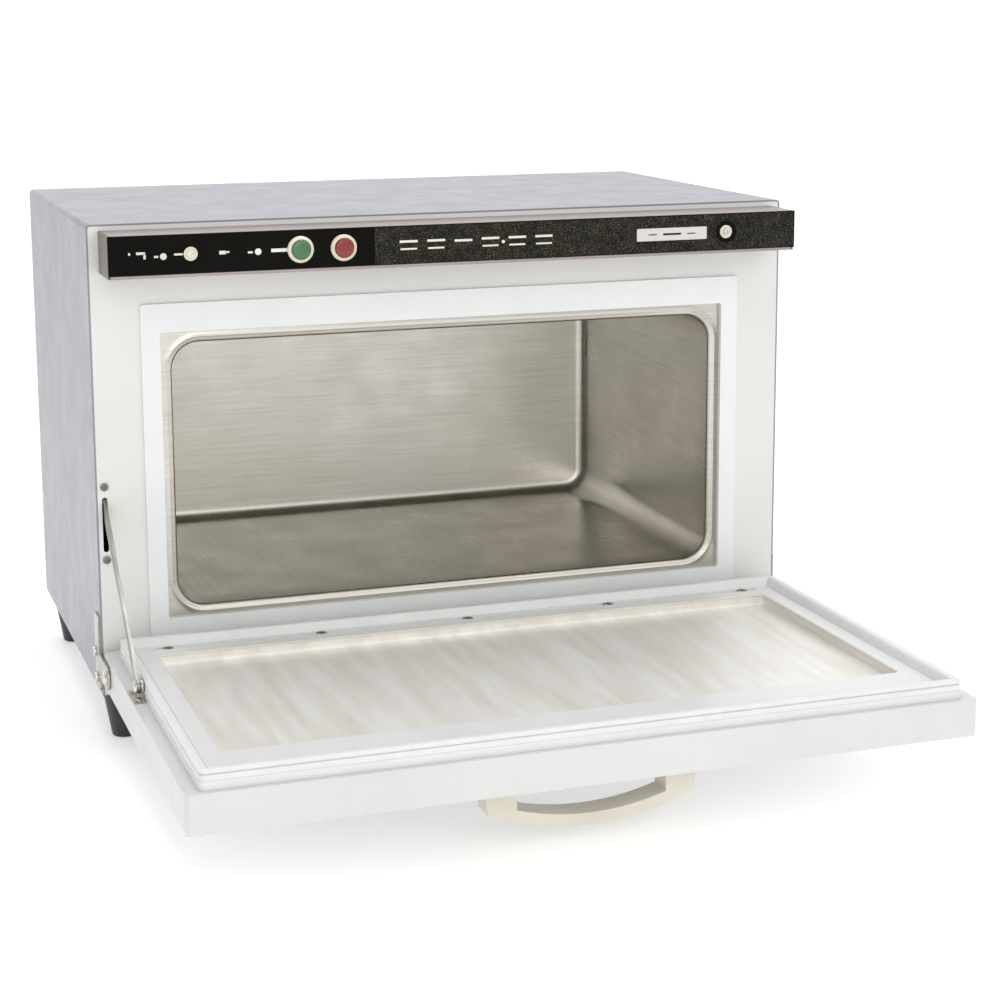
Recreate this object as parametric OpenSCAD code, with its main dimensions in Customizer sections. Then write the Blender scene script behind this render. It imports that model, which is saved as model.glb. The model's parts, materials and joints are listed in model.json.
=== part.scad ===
// Hot towel cabinet with a drop-down door, a front control bar and a heated inner tank.
// Frame: +X right as seen from the front, +Y to the back, +Z up.
// Origin: centre of the case footprint, on the plane that the feet stand on.
// The door is drawn open, lying level on its stay.

/* [Cabinet] */
// Width of the outer case
case_w = 480; // [460:1:500]
// Height of the outer case without its feet
case_h = 307; // [304:1:330]
// Depth of the outer case
case_d = 280; // [276:1:320]
// Height of the rubber feet
foot_h = 35; // [30:1:45]
// Thickness of the steel sheet of the case
sheet_t = 1.2; // [1:0.1:1.5]

/* [Towel tank] */
// Width of the towel chamber
tank_w = 376; // [350:1:380]
// Height of the towel chamber
tank_h = 174; // [150:1:176]
// Depth of the towel chamber behind its flange
tank_d = 240; // [200:1:242]
// Corner radius of the towel chamber
tank_r = 18; // [14:1:24]

/* [Control bar] */
// How far the bar stands out of the front
bar_out = 36.7; // [34:0.1:37]
// Height of the bar
bar_h = 26.8; // [25:0.1:28]
// Travel of the two push-buttons
button_travel = 3; // [2:0.5:3]
// Radius of the push-button caps
button_r = 6.2; // [5:0.1:6.5]

/* [Door] */
// Length of the door from its hinge end to its front end
door_len = 273; // [268:1:274]
// Height of the outer door shell
skin_h = 23; // [21:0.5:24]
// Gap between the open door's hinge end and the cabinet's front
door_gap = 6; // [5.5:0.5:7]
// Radius of the hinge pins
pin_r = 3; // [2.5:0.5:3]
// Distance that the handle stands off the door
handle_out = 32; // [28:1:34]

/* [Hidden] */
$fn = 64;
cut = 1;              // how far a cutting shape runs past the face that it cuts
slip = 0.2;           // clearance between pieces that only rest beside each other

// Case
half_w = case_w / 2;
inside_w = half_w - sheet_t;
inside_top = case_h - sheet_t;
case_r = 3;
rear_flange = 10;
panel_y = case_d - 2 - sheet_t;
base_flange = 14;
flange_depth = 12;
frame_t = 1.5;
panel_screw_z = [40, case_h / 2, case_h - 40];
panel_screw_x = 90;

// Sheet-metal screws and the holes that they pass through
screw_r = 1.5;
hole_r = 1.6;
through = 10;         // length of a hole cutter that passes any sheet

// Tank and the frame around it
tank_z0 = 55;
tank_t = 1;
flange_hidden = 10;   // width of the flange that the seal frame covers
tank_screw_r = 1.3;
tank_rim = 7.8;       // strip of bright flange left showing around the chamber
rim_w = tank_w / 2 + tank_rim;
rim_z0 = tank_z0 - tank_rim + 0.8;
rim_z1 = tank_z0 + tank_h + tank_rim;
lip = 3.8;
seal_w = half_w - 32;
seal_z0 = 37.6;
seal_z1 = rim_z1 + 18.5;
seal_out = 1.8;
tank_back = frame_t + tank_d;

// Insulation around the tank
wool_w = 221;
wool_y0 = 5;
wool_y1 = tank_back + 14;
wool_z1 = 262;
heater_space = 12;
notch = 34;
service_hole = [-80, 60, 100, 140];

// Heater under the tank floor
spreader_t = 2;
spreader_x = 340;
spreader_y = 200;
spreader_y0 = 25;
tube_r = 3.5;
bend_r = 14;
loop_half = 140;
loop_y = [60, 200];
tube_z = tank_z0 - tank_t - spreader_t - tube_r;
lead_x = 20;

// Services behind the tank
stat_r = 8.5;
stat_h = 9;
stat_ear = 16;        // half length of the thermostat's fixing strap
stat_x = -55;
fuse_x = 30;
fuse_r = 2.2;
service_z = 120;
block_size = [60, 14, 18];
ways = 5;             // poles of the terminal block
block_pos = [90, wool_y1 + 3, sheet_t];
loom_r = 2.5;
loom_hole_r = loom_r + 1.5;
loom_x = 215;
loom_y = wool_y1 + 10;
loom_end_y = -20;
gland_x = 190;
gland_z = 32;
gland_bore_r = 3.75;
gland_neck_r = 7.9;
gland_inner = 6;      // length of the bush inside the panel

// Control bar
bar_top = case_h - 4;
bar_z0 = bar_top - bar_h;
bar_half = half_w - 7.4;
cap_t = 1.5;
bar_t = 1.2;
bar_lip = 2;
fascia_t = 1.5;
fascia_rib = 3.5;
bar_mid = bar_z0 + bar_lip + (bar_h - bar_lip) / 2;
fascia_y = -bar_out - fascia_t;
loom_z = bar_mid - 6;
label_t = 0.3;
label_x0 = -63.5;
label_edge = 0.6;
label_hole_r = 7.5;
plate_x = [116.5, 167];
plate_h = 8.4;
plate_t = 0.6;
green_x = -112;
red_x = -84;
bezel_r = 8.5;
bezel_out = 3;
bezel_edge = 1.4;
bezel_len = 8.7;
barrel_r = 7.3;
stem_r = 3;
cap_rest = 1.5;       // how far a pressed cap still stands out
cap_out = button_travel + cap_rest;
cap_len = 11;
stem_len = 9;
switch_bore = 12;
tab_len = 6;
switch_size = 17;
switch_y = -28;
switch_len = 17;
bar_screw_x = 181.5;
washer_r = 4.5;
washer_t = 0.8;

// Hinge
pivot_y = -24.75;
pivot_z = 20.25;
plate_thick = 1.5;
plate_strip_y = [2, 18];
plate_strip_z = [3, 53];
arm_half = 8;
hinge_screws = [[14, 27], [9, 11]];
bush_r = 4.5;
bush_gap = 0.05;
bush_len = 10;
block_w = 12;
block_half = 14;
pin_reach = 13;       // length of the pin inside the hinge plate
pin_head = 1.6;

// Door, open
door_half = half_w - 0.5;
skin_z0 = 8.44;
skin_t = 2;
skin_z1 = skin_z0 + skin_h;
door_y1 = -door_gap;
door_y0 = -door_gap - door_len;
skin_r = 3;
ledge = 12;
hinge_ledge = 35;
liner_in = 8;
liner_front_in = 4;
liner_hinge_in = 11;
liner_y0 = door_y0 + liner_front_in;
liner_y1 = door_y1 - liner_hinge_in;
liner_half = door_half - liner_in;
plinth_h = 5;
plinth_z = skin_z1 + plinth_h;
door_top = 43;        // top of the seal
rim_z = 37.6;         // top of the liner's rim around the pan
pan_half = 212;
pan_y0 = -234;
pan_y1 = -43;
pan_t = 1;
pan_floor = 30;
pan_wall_z = rim_z - 1;
bead = 0.5;
gasket_in = 0.5;
gasket_w = 8;
rim_inset = gasket_in + gasket_w + slip;
gasket_z1 = door_top - 0.1;
channel_w = 5;        // screw channel in the rim beside the hinge
channel_z = rim_z - 1.8;
channel_y = -30;
magnet_w = 4;
magnet_h = 2;
magnet_z = plinth_z + 2.2;
liner_screw_pitch = 101;
liner_screw_r = 1.4;
screw_pocket_r = 3.8;

// Handle
handle_half = 66;
handle_foot = 63.5;
grip_half = 46;
handle_y0 = -257;
handle_depth = 17;
handle_end_drop = 19.5;
grip_end_drop = 18;
grip_mid_drop = handle_out - 7;
handle_screw_x = 56;
handle_screw_len = 14;
handle_screw_r = 1.6;

// Stay
stay_b = [-106, 38.5];   // lower pivot on the open door
stay_angle = 39;
stay_half = 4.2;
stay_t = 2;
stay_x = -half_w + 4.6;
stay_len = 143;
stay_tail = 5;
slot_z = [96, 132];
slot_w = 3.6;
guide_screws = [91, 139];
guide_left = 2.9;     // the guide plate stops short of the frame's side flange
guide_right = 6.5;
guide_end = 5;
bracket_t = 1.5;
bracket_x = stay_x + stay_t + 0.2;
bracket_half = 5;
bracket_foot = 1.2;   // thickness of the bracket's foot
foot_half = 12;
bracket_screw_r = 1;
bracket_screw_y = [-9, 9];
rivet_head = 1.4;
rivet_r = 2;
stop_r = 2;

// Feet
foot_x = 223;
foot_y = [24, 254];
foot_r0 = 8.5;
foot_r1 = 14.5;
foot_recess_r = 5.5;
foot_pad = 12;        // rubber left between the recess and the base plate
foot_screw_r = 2;
foot_hole_r = 2.2;

// ---- helpers ----

// Puts a child drawn from the lower front edge of the case into the part's frame.
module at_front() translate([0, -case_d / 2, foot_h]) children();

// Extrudes a child drawn in X and Z along Y.
module along_y(y0, y1) translate([0, y1, 0]) rotate([90, 0, 0]) linear_extrude(y1 - y0) children();

// Extrudes a child drawn in Y and Z along X.
module along_x(x0, x1) translate([x0, 0, 0]) rotate([90, 0, 90]) linear_extrude(x1 - x0) children();

// Extrudes a child drawn in X and Y along Z.
module along_z(z0, z1) translate([0, 0, z0]) linear_extrude(z1 - z0) children();

module both_sides() {
    children();
    mirror([1, 0, 0]) children();
}

module box(low, high) translate(low) cube(high - low);

// Cutters for round holes through a sheet, along Y and along Z.
module hole_y(r, length = through) rotate([90, 0, 0]) cylinder(r = r, h = length, center = true);
module hole_z(r, length = through) cylinder(r = r, h = length, center = true);

// Rectangle from one corner to the other, with round corners.
module round_rect(low, high, r) {
    translate([low[0] + r, low[1]]) square([high[0] - low[0] - 2 * r, high[1] - low[1]]);
    translate([low[0], low[1] + r]) square([high[0] - low[0], high[1] - low[1] - 2 * r]);
    for (x = [low[0] + r, high[0] - r], y = [low[1] + r, high[1] - r])
        translate([x, y]) circle(r);
}

// Rectangle with round upper corners only.
module round_top(low, high, r) {
    round_rect(low, high, r);
    translate(low) square([high[0] - low[0], (high[1] - low[1]) / 2]);
}

// A pan-head screw whose head stands on z = 0 and whose shank runs down.
module screw(head_r, head_h, shank_r, length) {
    slot = [head_r * 1.1, head_r * 0.25, head_h];
    difference() {
        cylinder(r = head_r, h = head_h);
        for (turn = [0, 90]) rotate(turn) translate([0, 0, head_h]) cube(slot, center = true);
    }
    translate([0, 0, -length]) cylinder(r = shank_r, h = length);
}

// Turns a screw so that its head faces the front, the back, or out of the left side.
module facing_front() rotate([90, 0, 0]) children();
module facing_back() rotate([-90, 0, 0]) children();
module facing_left() rotate([0, -90, 0]) children();

// ---- case ----

module case_profile(inset, z0) {
    r = max(case_r - inset, 1);
    round_top([-half_w + inset, z0], [half_w - inset, case_h - inset], r);
}

module panel_screw_places() {
    edge = inside_w - rear_flange / 2;
    for (z = panel_screw_z, side = [-1, 1])
        translate([side * edge, panel_y + sheet_t, z]) children();
    for (side = [-1, 1])
        translate([side * panel_screw_x, panel_y + sheet_t, inside_top - rear_flange / 2]) children();
}

module outer_case() color("gainsboro") at_front() difference() {
    along_y(0, case_d) case_profile(0, 0);
    along_y(-cut, panel_y - sheet_t) case_profile(sheet_t, -cut);
    along_y(panel_y - 2 * sheet_t, panel_y + cut) case_profile(sheet_t + rear_flange, -cut);
    along_y(panel_y, case_d + cut) case_profile(sheet_t, -cut);
    box([-inside_w, panel_y - 2 * sheet_t, -cut], [inside_w, panel_y + cut, base_flange + slip]);
    hinge_screw_holes();
    panel_screw_places() rotate([90, 0, 0]) cylinder(r = hole_r, h = 3 * sheet_t);
}

module back_panel() color("lightgray") at_front() difference() {
    along_y(panel_y, panel_y + sheet_t) case_profile(sheet_t + slip / 2, 0);
    panel_screw_places() hole_y(hole_r + slip);
    translate([gland_x, panel_y, gland_z]) hole_y(gland_neck_r + 0.1);
}

module back_panel_screws() color("silver") at_front() panel_screw_places()
    facing_back() screw(3, 1.8, screw_r, 2.2 * sheet_t);

module foot_places() for (y = foot_y, side = [-1, 1]) translate([side * foot_x, y, 0]) children();

module base_plate() color("darkgray") at_front() difference() {
    union() {
        box([-inside_w, frame_t, 0], [inside_w, panel_y, sheet_t]);
        both_sides() box([inside_w - sheet_t, frame_t + flange_depth, 0], [inside_w, panel_y, base_flange]);
        box([-inside_w, panel_y - sheet_t, 0], [inside_w, panel_y, base_flange]);
    }
    foot_places() translate([0, 0, -cut]) cylinder(r = foot_hole_r, h = sheet_t + 2 * cut);
    hinge_screw_holes();
}

module feet() color("dimgray") foot_at_floor() difference() {
    cylinder(r1 = foot_r0, r2 = foot_r1, h = foot_h);
    translate([0, 0, -cut]) cylinder(r = foot_recess_r, h = foot_h - foot_pad + cut);
    cylinder(r = foot_hole_r, h = foot_h + cut);
}

module foot_at_floor() translate([0, -case_d / 2, 0]) foot_places() children();

module foot_screws() color("silver") foot_at_floor() translate([0, 0, foot_h - foot_pad])
    mirror([0, 0, 1]) screw(4, 2.5, foot_screw_r, foot_pad + sheet_t + 4);

// ---- front frame, seal frame and tank ----

module front_opening() {
    low = [-rim_w - lip - slip, rim_z0 - lip - slip];
    high = [rim_w + lip + slip, rim_z1 + lip + slip];
    round_rect(low, high, 2);
}

module tank_screw_places() {
    side_x = rim_w + lip + 3.5;
    for (z = [80, 142, 205], side = [-1, 1]) translate([side * side_x, 0, z]) children();
    for (x = [-100, 100], z = [rim_z0 - lip - 3, rim_z1 + lip + 3.5]) translate([x, 0, z]) children();
}

module stay_slot(width, extra) {
    x = stay_x + stay_t / 2;
    round_rect([x - width / 2, slot_z[0] - extra], [x + width / 2, slot_z[1] + extra], width / 2 - 0.01);
}

module guide_screw_places() for (z = guide_screws) translate([stay_x + stay_t / 2, 0, z]) children();

module front_frame() color("whitesmoke") at_front() difference() {
    union() {
        along_y(0, frame_t) case_profile(sheet_t, sheet_t);
        along_y(frame_t - 0.1, flange_depth) difference() {
            case_profile(sheet_t, sheet_t);
            case_profile(2 * sheet_t, 2 * sheet_t);
        }
    }
    along_y(-cut, frame_t + cut) front_opening();
    along_y(-cut, frame_t + cut) stay_slot(slot_w, 0);
    guide_screw_places() hole_y(hole_r);
    tank_screw_places() hole_y(hole_r);
    bar_screw_places() hole_y(hole_r);
    loom_entry() hole_y(loom_hole_r);
    hinge_screw_holes();
}

module seal_frame() color("white") at_front() difference() {
    union() {
        along_y(-seal_out, 0) round_rect([-seal_w, seal_z0], [seal_w, seal_z1], 2.5);
        along_y(-cut, frame_t)
            round_rect([-rim_w - lip, rim_z0 - lip], [rim_w + lip, rim_z1 + lip], 2);
    }
    along_y(-seal_out - cut, frame_t + cut) round_rect([-rim_w, rim_z0], [rim_w, rim_z1], 2);
    tank_screw_places() hole_y(tank_screw_r + 0.1, 2 * seal_out - 0.8);
}

module tank_profile(grow) round_rect([-tank_w / 2 - grow, tank_z0 - grow],
    [tank_w / 2 + grow, tank_z0 + tank_h + grow], tank_r + grow);

module inner_tank() color("silver") at_front() difference() {
    union() {
        along_y(frame_t, frame_t + tank_t) round_rect([-rim_w - flange_hidden, rim_z0 - flange_hidden + 1],
            [rim_w + flange_hidden, rim_z1 + flange_hidden], 4);
        along_y(frame_t, tank_back + tank_t) tank_profile(tank_t);
    }
    along_y(frame_t - cut, tank_back) tank_profile(0);
    tank_screw_places() hole_y(hole_r);
}

module tank_screws() color("silver") at_front() tank_screw_places() translate([0, frame_t + tank_t, 0])
    facing_back() screw(2.6, 1.6, tank_screw_r, frame_t + tank_t + 1.2);

// ---- insulation, heater and services ----

module insulation() color("khaki") at_front() difference() {
    box([-wool_w, wool_y0, 2 * sheet_t], [wool_w, wool_y1, wool_z1]);
    box([-tank_w / 2 - tank_t - slip, wool_y0 - cut, tank_z0 - tank_t - heater_space],
        [tank_w / 2 + tank_t + slip, tank_back + tank_t, tank_z0 + tank_h + tank_t + slip]);
    foot_places() box([-notch / 2, -notch, -cut], [notch / 2, notch / 2, 12]);
    box([service_hole[0], tank_back, service_hole[2]], [service_hole[1], wool_y1 + cut, service_hole[3]]);
    for (x = [-lead_x, lead_x]) translate([x, tank_back, tube_z]) rotate([-90, 0, 0]) cylinder(r = 6, h = 20);
}

module heater_plate() color("lightsteelblue") at_front()
    translate([0, spreader_y0, tank_z0 - tank_t - spreader_t]) along_z(0, spreader_t) round_rect([-spreader_x / 2, 0], [spreader_x / 2, spreader_y], 8);

// A tube in one open loop under the spreader plate, with both of its ends at the back.
module heater_element() color("slategray") at_front() translate([0, 0, tube_z]) {
    heater_run([bend_r - loop_half, loop_y[0]], 0, 2 * (loop_half - bend_r));
    for (side = [0, 1]) mirror([side, 0, 0]) {
        heater_bend([loop_half - bend_r, loop_y[0] + bend_r], -90);
        heater_run([loop_half, loop_y[0] + bend_r], 90, loop_y[1] - loop_y[0] - 2 * bend_r);
        heater_bend([loop_half - bend_r, loop_y[1] - bend_r], 0);
        heater_run([lead_x + bend_r, loop_y[1]], 0, loop_half - lead_x - 2 * bend_r);
        heater_bend([lead_x + bend_r, loop_y[1] + bend_r], 180);
        heater_run([lead_x, loop_y[1] + bend_r], 90, wool_y1 + 3 - loop_y[1] - bend_r);
    }
}

module heater_run(start, turn, length) translate(start) rotate([0, 90, turn]) cylinder(r = tube_r, h = length);

module heater_bend(centre, turn) translate(centre) rotate(turn)
    rotate_extrude(angle = 90) translate([bend_r, 0]) circle(tube_r);

module heater_brackets() color("silver") at_front() for (y = [90, 150]) difference() {
    top = tank_z0 - tank_t - spreader_t;
    box([-loop_half - 12, y, tube_z - tube_r - 1.5], [loop_half + 12, y + 10, top]);
    box([-loop_half + 8, y - cut, tube_z - tube_r], [loop_half - 8, y + 10 + cut, top + cut]);
    for (side = [-1, 1]) translate([side * loop_half, 0, 0]) {
        translate([0, y - cut, tube_z]) rotate([-90, 0, 0]) cylinder(r = tube_r + 0.05, h = 10 + 2 * cut);
        box([-tube_r - 0.05, y - cut, tube_z], [tube_r + 0.05, y + 10 + cut, top + cut]);
    }
}

module thermostat() color("ivory") at_front() translate([stat_x, tank_back + tank_t, service_z])
    rotate([-90, 0, 0]) {
        cylinder(r = stat_r, h = stat_h);
        box([-stat_ear, -4, 0], [stat_ear, 4, 0.8]);
        for (x = [-4, 4]) translate([x, 0, stat_h]) box([-0.4, -3, 0], [0.4, 3, tab_len]);
    }

module thermal_fuse() color("goldenrod") at_front() translate([fuse_x, tank_back + tank_t + fuse_r, service_z])
    rotate([0, 90, 0]) {
        cylinder(r = fuse_r, h = 14, center = true);
        cylinder(r = 0.6, h = 34, center = true);
    }

module terminal_block() color("ivory") at_front() translate(block_pos) difference() {
    cube(block_size);
    pitch = block_size[0] / ways;
    for (i = [0:ways - 1]) translate([pitch * (i + 0.5), block_size[1] / 2, block_size[2] - 8])
        cylinder(r = 2.6, h = 8 + cut);
}

module loom_entry() translate([loom_x, 0, loom_z]) children();

// The wires to the switches run up behind the tank, forward over it and along the bar.
module wiring_loom() color("black") at_front() {
    low_z = 11;
    block_x = block_pos[0] + block_size[0];
    loom_run([block_x, loom_y, low_z], [0, 90, 0], loom_x - block_x - bend_r);
    loom_bend([loom_x - bend_r, loom_y, low_z + bend_r], [90, 0, 0], 270);
    loom_run([loom_x, loom_y, low_z + bend_r], [0, 0, 0], loom_z - low_z - 2 * bend_r);
    loom_bend([loom_x, loom_y - bend_r, loom_z - bend_r], [90, 0, 90], 0);
    loom_run([loom_x, loom_y - bend_r, loom_z], [90, 0, 0], loom_y - loom_end_y - 2 * bend_r);
    loom_bend([loom_x - bend_r, loom_end_y + bend_r, loom_z], [0, 0, 0], 270);
    loom_run([loom_x - bend_r, loom_end_y, loom_z], [0, -90, 0], loom_x - bend_r - red_x - switch_size / 2);
}

module loom_run(start, turn, length) translate(start) rotate(turn) cylinder(r = loom_r, h = length);

module loom_bend(centre, plane, turn) translate(centre) rotate(plane) rotate(turn)
    rotate_extrude(angle = 90) translate([bend_r, 0]) circle(loom_r);

// A flanged bush in the back panel for a supply cord.
module cord_gland() color("black") at_front() translate([gland_x, panel_y, gland_z]) rotate([-90, 0, 0])
    difference() {
        union() {
            translate([0, 0, -gland_inner]) cylinder(r = 10.5, h = gland_inner);
            cylinder(r = gland_neck_r, h = sheet_t);
            translate([0, 0, sheet_t]) cylinder(r = 11, h = 3);
            translate([0, 0, sheet_t + 3]) cylinder(r1 = 8, r2 = 6.5, h = 7);
        }
        translate([0, 0, -gland_inner - cut]) cylinder(r = gland_bore_r, h = 20);
    }

// ---- control bar ----

module bar_screw_places() for (side = [-1, 1]) translate([side * bar_screw_x, 0, bar_mid]) children();

module button_places() for (x = [green_x, red_x]) translate([x, 0, bar_mid]) children();

// An aluminium channel, open to the front.
module control_bar() color("tan") at_front() difference() {
    box([-bar_half + cap_t, -bar_out, bar_z0], [bar_half - cap_t, 0, bar_top]);
    box([-bar_half, -bar_out - cut, bar_z0 + bar_lip], [bar_half, -bar_t, bar_top - bar_t]);
    bar_screw_places() hole_y(hole_r);
    loom_entry() hole_y(loom_hole_r);
}

module bar_end_caps() color("darkkhaki") at_front() both_sides() {
    along_x(bar_half - cap_t, bar_half) square_yz([-bar_out, bar_z0], [0, bar_top]);
    along_x(bar_half - cap_t - 6, bar_half - cap_t)
        square_yz([-bar_out + fascia_rib + slip, bar_z0 + bar_lip], [-bar_t, bar_top - bar_t]);
}

module square_yz(low, high) translate(low) square(high - low);

module fascia_strip() color("black") at_front() difference() {
    end = bar_half - cap_t;
    union() {
        box([-bar_half, fascia_y, bar_z0 + bar_lip], [bar_half, -bar_out, bar_top]);
        for (z = [bar_z0 + bar_lip, bar_top - bar_t - fascia_rib])
            box([-end, -bar_out, z], [end, -bar_out + fascia_rib, z + fascia_rib]);
    }
    bar_screw_places() hole_y(hole_r, 3 * bar_out);
    button_places() hole_y(barrel_r + 0.1, 3 * bar_out);
}

module control_label() color("#2b2522") at_front() difference() {
    box([label_x0, fascia_y - label_t, bar_z0 + bar_lip + label_edge],
        [bar_half - label_edge, fascia_y, bar_top - label_edge]);
    bar_screw_places() hole_y(label_hole_r, 3 * bar_out);
}

module name_plate() color("white") at_front() {
    y = fascia_y - label_t;
    along_y(y - plate_t, y)
        round_rect([plate_x[0], bar_mid - plate_h / 2], [plate_x[1], bar_mid + plate_h / 2], 0.6);
}

module button_bezels() color("antiquewhite") at_front() button_places() translate([0, fascia_y, 0])
    rotate([90, 0, 0]) difference() {
        union() {
            rotate_extrude() polygon([[0, 0], [bezel_r, 0], [bezel_r, bezel_out - bezel_edge],
                [bezel_r - bezel_edge, bezel_out], [0, bezel_out]]);
            translate([0, 0, -bezel_len]) cylinder(r = barrel_r, h = bezel_len);
        }
        translate([0, 0, -bezel_len - cut]) cylinder(r = button_r + 0.1, h = bezel_len + bezel_out + 2 * cut);
    }

module push_button(x) at_front() translate([x, fascia_y - cap_out, bar_mid]) rotate([-90, 0, 0]) {
    rotate_extrude() polygon([[0, 0.3], [button_r - 2, 0], [button_r - 0.6, 0.3], [button_r, 1],
        [button_r, cap_len], [0, cap_len]]);
    translate([0, 0, cap_len]) cylinder(r = stem_r, h = stem_len);
}

module green_button() color("seagreen") push_button(green_x);
module red_button() color("firebrick") push_button(red_x);

module switch_bodies() color("dimgray") at_front() button_places() difference() {
    half = switch_size / 2;
    union() {
        box([-half, switch_y, -half], [half, switch_y + switch_len, half]);
        for (x = [-4, 4])
            box([x - 0.4, switch_y + switch_len, -2], [x + 0.4, switch_y + switch_len + tab_len, 2]);
    }
    translate([0, switch_y, 0]) hole_y(stem_r + 0.1, 2 * switch_bore);
}

module bar_screws() color("silver") at_front() bar_screw_places() translate([0, fascia_y - washer_t, 0])
    facing_front() screw(2.6, 1.4, screw_r, bar_out + fascia_t + washer_t + 4);

module bar_screw_washers() color("antiquewhite") at_front() bar_screw_places() translate([0, fascia_y, 0])
    facing_front() difference() {
        cylinder(r1 = washer_r, r2 = washer_r - washer_t, h = washer_t);
        hole_z(hole_r);
    }

// ---- hinge ----

module hinge_screw_holes() both_sides() for (p = hinge_screws)
    translate([-half_w, p[0], p[1]]) rotate([0, 90, 0]) hole_z(hole_r);

module hinge_plate() difference() {
    along_x(-half_w - plate_thick, -half_w) {
        round_rect([plate_strip_y[0], plate_strip_z[0]], [plate_strip_y[1], plate_strip_z[1]], 3);
        square_yz([pivot_y, pivot_z - arm_half], [plate_strip_y[1] - 4, pivot_z + arm_half]);
        translate([pivot_y, pivot_z]) circle(arm_half - 0.01);
    }
    hinge_screw_holes();
    translate([-half_w, pivot_y, pivot_z]) rotate([0, 90, 0]) hole_z(pin_r);
}

module hinge_plate_left() color("silver") at_front() hinge_plate();
module hinge_plate_right() color("silver") at_front() mirror([1, 0, 0]) hinge_plate();

module hinge_pins() color("silver") at_front() both_sides() translate([-half_w - plate_thick, pivot_y, pivot_z])
    rotate([0, 90, 0]) {
        cylinder(r = pin_r, h = plate_thick + pin_reach);
        translate([0, 0, -pin_head]) cylinder(r1 = 4.2, r2 = 5, h = pin_head);
    }

module hinge_plate_screws() color("silver") at_front() both_sides() for (p = hinge_screws)
    translate([-half_w - plate_thick, p[0], p[1]]) facing_left() screw(3.4, 1.8, screw_r, plate_thick + 3.5);

module hinge_blocks() color("dimgray") at_front() both_sides() difference() {
    x = -door_half + skin_t;
    box([x, pivot_y - block_half, skin_z0 + skin_t], [x + block_w, pivot_y + block_half, skin_z1 - skin_t]);
    translate([x - cut, pivot_y, pivot_z]) rotate([0, 90, 0]) cylinder(r = bush_r, h = block_w + 2 * cut);
}

module hinge_bushes() color("burlywood") at_front() both_sides()
    translate([-door_half + skin_t, pivot_y, pivot_z]) rotate([0, 90, 0]) difference() {
        cylinder(r = bush_r, h = bush_len);
        translate([0, 0, -cut]) cylinder(r = pin_r + bush_gap, h = bush_len + 2 * cut);
    }

// ---- door ----

module door_outline(inset, back_inset, r)
    round_rect([-door_half + inset, door_y0 + inset], [door_half - inset, door_y1 - back_inset], r);

module liner_outline(inset, back_inset, r)
    round_rect([-liner_half + inset, liner_y0 + inset], [liner_half - inset, liner_y1 - back_inset], r);

module pan_outline(grow, r)
    round_rect([-pan_half - grow, pan_y0 - grow], [pan_half + grow, pan_y1 + grow], r);

module liner_screw_places() for (i = [-2:2]) translate([i * liner_screw_pitch, channel_y, 0]) children();

module stay_bracket_screw_places()
    for (y = bracket_screw_y) translate([-door_half + 4, stay_b[0] + y, skin_z1]) children();

module door_skin() color("whitesmoke") at_front() difference() {
    along_z(skin_z0, skin_z1) door_outline(0, 0, skin_r);
    along_z(skin_z0 + skin_t, skin_z1 - skin_t) door_outline(skin_t, skin_t, 1.5);
    along_z(skin_z1 - 2 * skin_t, skin_z1 + cut) door_outline(ledge, hinge_ledge, 2);
    both_sides() translate([-door_half - cut, pivot_y, pivot_z]) rotate([0, 90, 0])
        cylinder(r = pin_r + 1, h = skin_t + 2 * cut);
    handle_screw_places() hole_z(handle_screw_r + 0.5, 3 * skin_t);
    liner_screw_places() translate([0, 0, skin_z1]) hole_z(liner_screw_r, 3 * skin_t);
    stay_bracket_screw_places() hole_z(bracket_screw_r, 3 * skin_t);
}

module door_liner() color("white") at_front() difference() {
    union() {
        along_z(skin_z1, plinth_z) liner_outline(0, 0, 4);
        along_z(plinth_z - 0.1, rim_z) liner_outline(rim_inset, rim_inset, 3);
    }
    along_z(channel_z, rim_z + cut) {
        round_rect([-pan_half, channel_y - channel_w / 2], [pan_half, channel_y + channel_w / 2], 2);
        liner_screw_places() circle(screw_pocket_r);
    }
    along_z(skin_z1 - cut, pan_wall_z) pan_outline(pan_t + 0.1, 3);
    along_z(skin_z1 - cut, rim_z + cut) pan_outline(-bead, 3);
    liner_screw_places() translate([0, 0, skin_z1]) hole_z(liner_screw_r + 0.3, 4 * through);
}

module door_gasket() color("snow") at_front() difference() {
    along_z(plinth_z, gasket_z1) liner_outline(gasket_in, gasket_in, 4);
    along_z(plinth_z - cut, gasket_z1 + cut) liner_outline(gasket_in + gasket_w, gasket_in + gasket_w, 3);
    magnet_ring(0);
}

// The flexible magnet bars inside the seal.
module magnet_ring(extra) along_z(magnet_z, magnet_z + magnet_h) difference() {
    edge = gasket_in + (gasket_w - magnet_w) / 2;
    liner_outline(edge, edge, 2);
    liner_outline(edge + magnet_w, edge + magnet_w, 2);
}

module gasket_magnet() color("saddlebrown") at_front() magnet_ring(0);

module door_pan() color("silver") at_front() difference() {
    along_z(pan_floor - pan_t, pan_wall_z) pan_outline(pan_t, 3);
    along_z(pan_floor, pan_wall_z + cut) pan_outline(0, 3);
}

module door_insulation() color("khaki") at_front()
    along_z(skin_z0 + skin_t, pan_floor - pan_t) pan_outline(-3, 4);

module handle_screw_places() for (side = [-1, 1])
    translate([side * handle_screw_x, handle_y0 + handle_depth / 2, skin_z0 + skin_t]) children();

// Bail with two feet and a bowed grip between them.
module door_handle() color("ivory") at_front() difference() {
    along_y(handle_y0, handle_y0 + handle_depth) handle_outline();
    handle_screw_places() translate([0, 0, -skin_t - handle_screw_len - cut])
        cylinder(r = handle_screw_r, h = 2 * through);
}

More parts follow.
